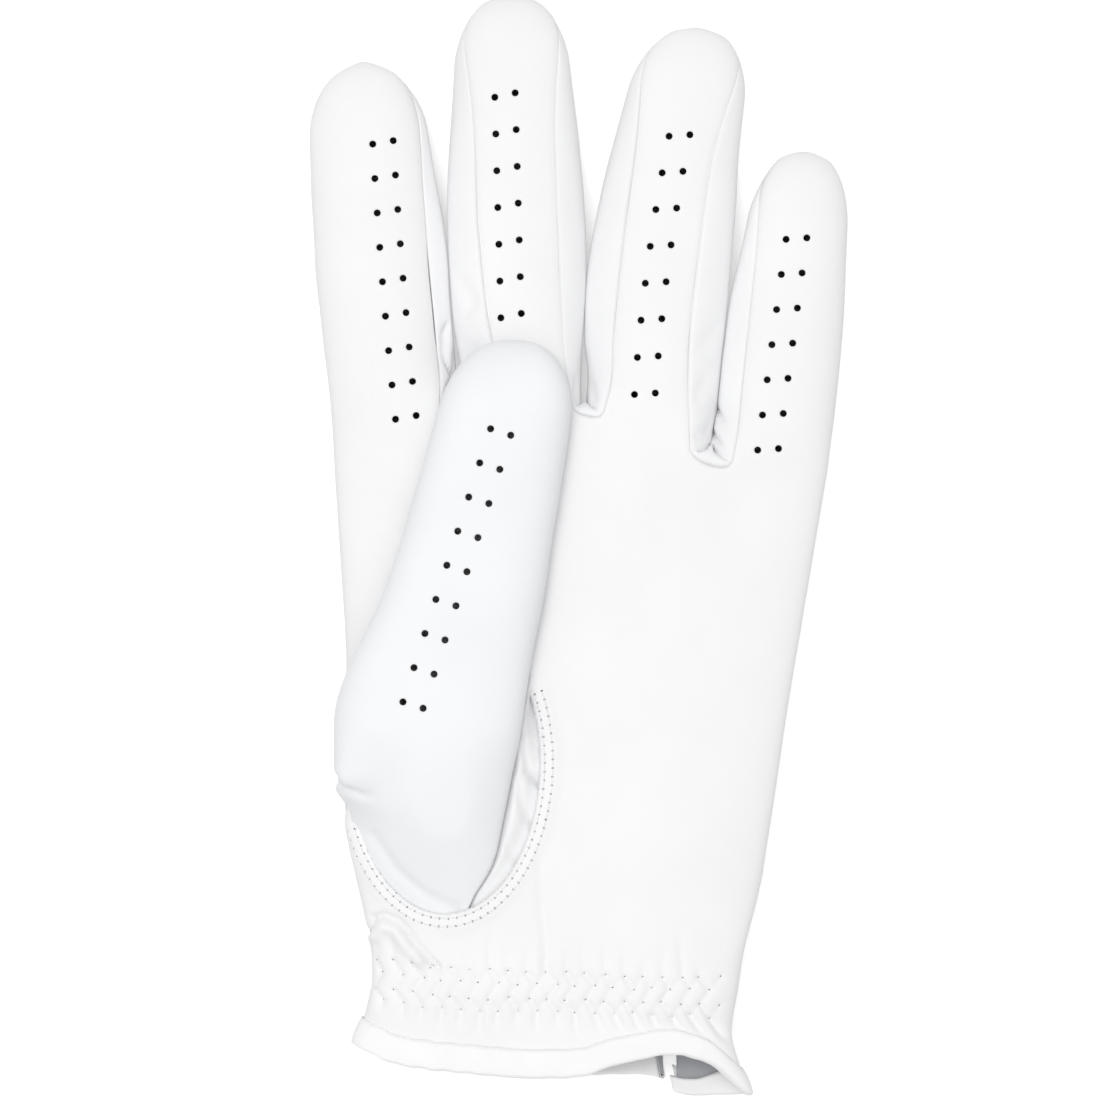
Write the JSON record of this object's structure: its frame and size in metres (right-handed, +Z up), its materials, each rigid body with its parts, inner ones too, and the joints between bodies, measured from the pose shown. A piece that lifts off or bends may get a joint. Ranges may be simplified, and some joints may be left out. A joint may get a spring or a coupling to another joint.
{
  "type": "golf glove",
  "caption": "Left-hand golf glove of thin white leather lying palm up, with perforated fingers, thumb folded over the palm, elastic wrist, bound cuff and hook-and-loop tab.",
  "frame": {"origin": "middle of the glove's bounding box in plan, on the surface it lies on", "axes": "+Y from the cuff to the fingertips, +X from the thumb side to the little finger side, +Z up out of the palm"},
  "size_m": [0.1191, 0.2425, 0.0289],
  "materials": {
    "palm_leather": "matte",
    "back_leather": "matte",
    "thumb_leather": "matte",
    "gusset_leather": "matte",
    "tab_leather": "matte",
    "binding_tape": "matte",
    "elastic": "matte",
    "loop_pile": "matte",
    "lining": "matte",
    "hook_strip": "matte",
    "thread": "matte"
  },
  "bodies": {
    "glove": {"palm_panel": "palm_leather", "back_panel": "back_leather", "fourchette_index_middle": "gusset_leather", "fourchette_middle_ring": "gusset_leather", "fourchette_ring_little": "gusset_leather", "thumb_gusset": "gusset_leather", "hem_binding": "binding_tape", "palm_elastic_upper": "elastic", "palm_elastic_lower": "elastic", "back_elastic": "elastic", "vent_facing": "binding_tape", "loop_patch": "loop_pile", "tab_base": "tab_leather", "thumb_seam_stitches_inner": "thread", "thumb_seam_stitches_outer": "thread", "elastic_stitches_upper": "thread", "elastic_stitches_lower": "thread", "loop_patch_stitches": "thread"},
    "thumb": {"thumb_front": "thumb_leather", "thumb_back": "thumb_leather"},
    "tab": {"closure_tab": "tab_leather", "tab_lining": "lining", "hook_patch": "hook_strip", "tab_stitches": "thread"}
  },
  "joints": [
    {"name": "closure_tab", "type": "hinge", "parent": "glove", "child": "tab", "pos_m": [0.02463, -0.0863, 0.00105], "axis": [0, -1, 0], "range_deg": [0, 180]},
    {"name": "thumb_swing", "type": "hinge", "parent": "glove", "child": "thumb", "pos_m": [-0.05407, -0.045, 0.013], "axis": [0, -1, 0], "range_deg": [0, 110]}
  ]
}
